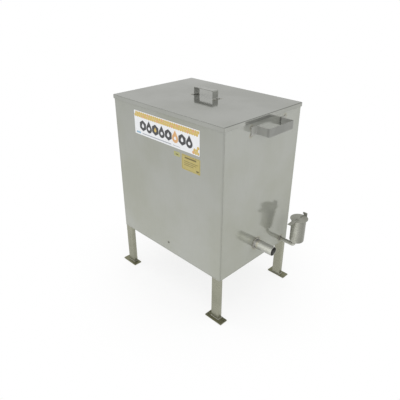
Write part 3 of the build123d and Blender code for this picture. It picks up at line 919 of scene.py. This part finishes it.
def bar_outline(x0, z0, x1, z1):
    """Outline of a plain bar, counted anticlockwise."""
    return [(x0, z0), (x1, z0), (x1, z1), (x0, z1)]


def hexagon(x, z, radius):
    """Outline of a hexagon with a point at the top, counted anticlockwise."""
    angles = [math.radians(60 * i) for i in range(6, 0, -1)]
    return [(x + radius * math.sin(t), z + radius * math.cos(t)) for t in angles]


def drop(x, z, radius):
    """Outline of a drop with its tip at the top, counted anticlockwise."""
    tip = 1.75
    sag = 0.1
    steps = 16
    outline = [(x, z + tip * radius)]
    for i in range(steps + 1):
        angle = math.radians(150 + 240 * i / steps)
        outline.append((x + radius * math.cos(angle),
                        z - sag * radius + radius * math.sin(angle)))
    return outline


class Sheet:
    """A thin label on the front wall, built up from flat shapes in several inks."""

    FILM = 0.00016
    PRINT = 0.00004
    BACK = 0.00001

    def __init__(self, name, inks):
        self.name = name
        self.inks = inks
        self.points = []
        self.faces = []
        self.face_inks = []

    def shape(self, outline, layer, ink):
        """Adds a flat shape in one ink: layer 0 is the film, the next ones lie on it."""
        first = len(self.points)
        count = len(outline)
        outer = self.FILM + layer * self.PRINT
        inner = self.BACK if layer == 0 else outer - self.PRINT
        for level in (outer, inner):
            self.points += [(x, -TANK_Y - level, z) for x, z in outline]
        self.faces.append(tuple(range(first, first + count)))
        for i in range(count):
            j = (i + 1) % count
            self.faces.append((first + j, first + i, first + count + i, first + count + j))
        self.face_inks += [self.inks.index(ink)] * (count + 1)

    def bars(self, x, z, rows, ink):
        """Adds plain bars, each by its left, bottom, right and top from a place on the label."""
        for x0, z0, x1, z1 in rows:
            self.shape(bar_outline(x + x0, z + z0, x + x1, z + z1), 1, ink)

    def finish(self):
        piece = add_piece(self.name, self.points, self.faces, self.inks[0], "tank",
                          smooth=False)
        for ink in self.inks[1:]:
            piece.data.materials.append(ink)
        for polygon, number in zip(piece.data.polygons, self.face_inks):
            polygon.material_index = number


def comb_cells(sheet, x0, z0, x1, z1):
    """Two full rows of comb cells along the top, and a small comb in the lower right corner.

    Row pitch and edge gap are counted in cells. Some cells are honey coloured, spread evenly.
    """
    cell = 0.0068
    fill = 0.97
    pitch = cell * math.sqrt(3)
    row_pitch = 1.5
    edge_gap = 1.2
    margin = 0.006
    columns = int((x1 - x0 - margin) / pitch)
    comb_columns = 4
    for column in range(columns):
        comb_rows = max(0, comb_columns - columns + column)
        for edge, inward, rows in ((z1, -1, 2), (z0, 1, comb_rows)):
            for row in range(rows):
                x = (x0 + x1) / 2 + (column - (columns - 1.5) / 2 - 0.5 * (row % 2)) * pitch
                z = edge + inward * cell * (edge_gap + row_pitch * row)
                ink = honey_film if (column * 5 + row * 3) % 7 == 2 else amber_film
                sheet.shape(hexagon(x, z, cell * fill), 1, ink)


def bold_marks(sheet, x, z):
    """Row of bold marks: hexagons that hold a drop, and drops that hold a hexagon."""
    size = 0.0195
    pitch = 1.9 * size
    outer_hexagon = 1.12 * size
    inner_drop = 0.34 * size
    outer_drop = 0.86 * size
    inner_hexagon = 0.36 * size
    marks = 8
    honey_mark = 5
    amber_drop = 2
    for i in range(marks):
        at = x + (i - (marks - 1) / 2) * pitch
        if i % 2:
            ink = honey_film if i == honey_mark else dark_film
            sheet.shape(drop(at, z - 0.003, outer_drop), 1, ink)
            sheet.shape(hexagon(at, z - 0.004, inner_hexagon), 2, white_film)
        else:
            sheet.shape(hexagon(at, z, outer_hexagon), 1, dark_film)
            ink = amber_film if i == amber_drop else white_film
            sheet.shape(drop(at, z - 0.001, inner_drop), 2, ink)


def banner():
    """Wide white label with comb cells, a row of bold marks, thin rules and a blue patch."""
    x0, x1, z0, z1 = -0.172, 0.190, 0.681, 0.775
    sheet = Sheet("label_banner", [white_film, amber_film, honey_film, dark_film, grey_film,
                                   blue_film])
    sheet.shape(rounded_outline(x0, z0, x1, z1, 0.002), 0, white_film)
    comb_cells(sheet, x0, z0, x1, z1)
    bold_marks(sheet, (x0 + x1) / 2, z0 + 0.0395)
    sheet.bars(x0, z0, ((0.046, 0.0060, 0.215, 0.0098), (0.224, 0.0068, 0.262, 0.0090)), grey_film)
    sheet.bars(x0, z0, ((0.010, 0.0050, 0.036, 0.0120),), blue_film)
    sheet.finish()


def small_label():
    """Small yellow label with a thin border, a title bar, three thin rules and a block."""
    x0, x1, z0, z1 = 0.098, 0.193, 0.610, 0.669
    border = 0.0028
    line = 0.0008
    width = x1 - x0
    height = z1 - z0
    sheet = Sheet("label_small", [yellow_film, brown_film])
    sheet.shape(rounded_outline(x0, z0, x1, z1, 0.003), 0, yellow_film)
    sheet.bars(x0, z0, ((border, height - border - line, width - border, height - border),
                        (border, border, width - border, border + line),
                        (border, border, border + line, height - border),
                        (width - border - line, border, width - border, height - border)),
               brown_film)
    sheet.bars(x0, z1, ((0.016, -0.014, width - 0.020, -0.008),
                        (0.012, -0.026, width - 0.012, -0.024),
                        (0.012, -0.033, width - 0.020, -0.031),
                        (0.012, -0.040, width - 0.034, -0.038)), brown_film)
    sheet.bars(x1, z0, ((-0.020, 0.007, -0.007, 0.013),), brown_film)
    sheet.finish()


def tag():
    """Plain olive tag with one short bar, beside the small label."""
    sheet = Sheet("label_tag", [olive_film, brown_film])
    sheet.shape(rounded_outline(0.056, 0.650, 0.090, 0.668, 0.004), 0, olive_film)
    sheet.shape(bar_outline(0.066, 0.656, 0.080, 0.660), 1, brown_film)
    sheet.finish()


banner()
small_label()
tag()


# Studio

def studio_world():
    """White surroundings, even and soft, as bright as white for the camera and in reflections."""
    world = bpy.data.worlds.new("studio")
    world.use_nodes = True
    bpy.context.scene.world = world
    tree = world.node_tree
    background = tree.nodes["Background"]
    background.inputs["Color"].default_value = (1.0, 1.0, 1.0, 1.0)
    path = tree.nodes.new("ShaderNodeLightPath")
    seen = path.outputs["Is Camera Ray"]
    for name in ("Is Glossy Ray", "Is Transmission Ray"):
        either = tree.nodes.new("ShaderNodeMath")
        either.operation = "MAXIMUM"
        tree.links.new(seen, either.inputs[0])
        tree.links.new(path.outputs[name], either.inputs[1])
        seen = either.outputs[0]
    level = tree.nodes.new("ShaderNodeMapRange")
    level.inputs["To Min"].default_value = 0.92
    level.inputs["To Max"].default_value = 1.0
    tree.links.new(seen, level.inputs["Value"])
    tree.links.new(level.outputs[0], background.inputs["Strength"])


def studio_floor():
    """Pale floor with the melter's soft shadow under it, plain white further out."""
    half = 15.0
    shadow_start, shadow_end = 0.20, 0.75
    white_under, white_out = 0.78, 1.0
    white_mirrored = 0.95
    corners = [(-half, -half, 0), (half, -half, 0), (half, half, 0), (-half, half, 0)]
    floor = mesh_object("studio_floor", corners, [(0, 1, 2, 3)])
    g = Graph("studio_floor")
    matt = g.node("ShaderNodeBsdfDiffuse", {"Color": (0.94, 0.94, 0.935, 1.0)})
    glow = g.node("ShaderNodeEmission", {"Color": (1.0, 1.0, 1.0, 1.0), "Strength": 1.0})
    path = g.node("ShaderNodeLightPath")
    away = g.spread(g.distance_to((0.0, 0.0, 0.0)), shadow_start, shadow_end, white_under,
                    white_out)
    seen = g.math("MULTIPLY", path.outputs["Is Camera Ray"], away)
    mirrored = g.math("MAXIMUM", path.outputs["Is Glossy Ray"],
                      path.outputs["Is Transmission Ray"])
    share = g.math("MULTIPLY_ADD", mirrored, white_mirrored, seen, clamp=True)
    both = g.node("ShaderNodeMixShader", {0: share})
    g.tree.links.new(matt.outputs[0], both.inputs[1])
    g.tree.links.new(glow.outputs[0], both.inputs[2])
    g.tree.links.new(both.outputs[0], g.out.inputs["Surface"])
    floor.data.materials.append(g.material)


def softbox(name, place, target, size, power):
    """Large soft area lamp that faces a target."""
    data = bpy.data.lights.new(name, "AREA")
    data.size = size
    data.energy = power
    lamp = bpy.data.objects.new(name, data)
    lamp.location = place
    lamp.rotation_euler = (Vector(target) - Vector(place)).to_track_quat("-Z", "Y").to_euler()
    bpy.context.scene.collection.objects.link(lamp)


photo_camera()
studio_world()
studio_floor()
softbox("key_softbox", (-1.9, -0.9, 2.6), target=(0.1, 0.0, 0.4), size=1.6, power=12.0)
softbox("fill_softbox", (1.6, -2.2, 2.4), target=(0.0, 0.0, 0.4), size=2.0, power=8.0)
softbox("side_softbox", (2.6, 0.9, 1.4), target=(0.3, 0.1, 0.5), size=1.4, power=6.0)

scene = bpy.context.scene
scene.view_settings.view_transform = "Standard"
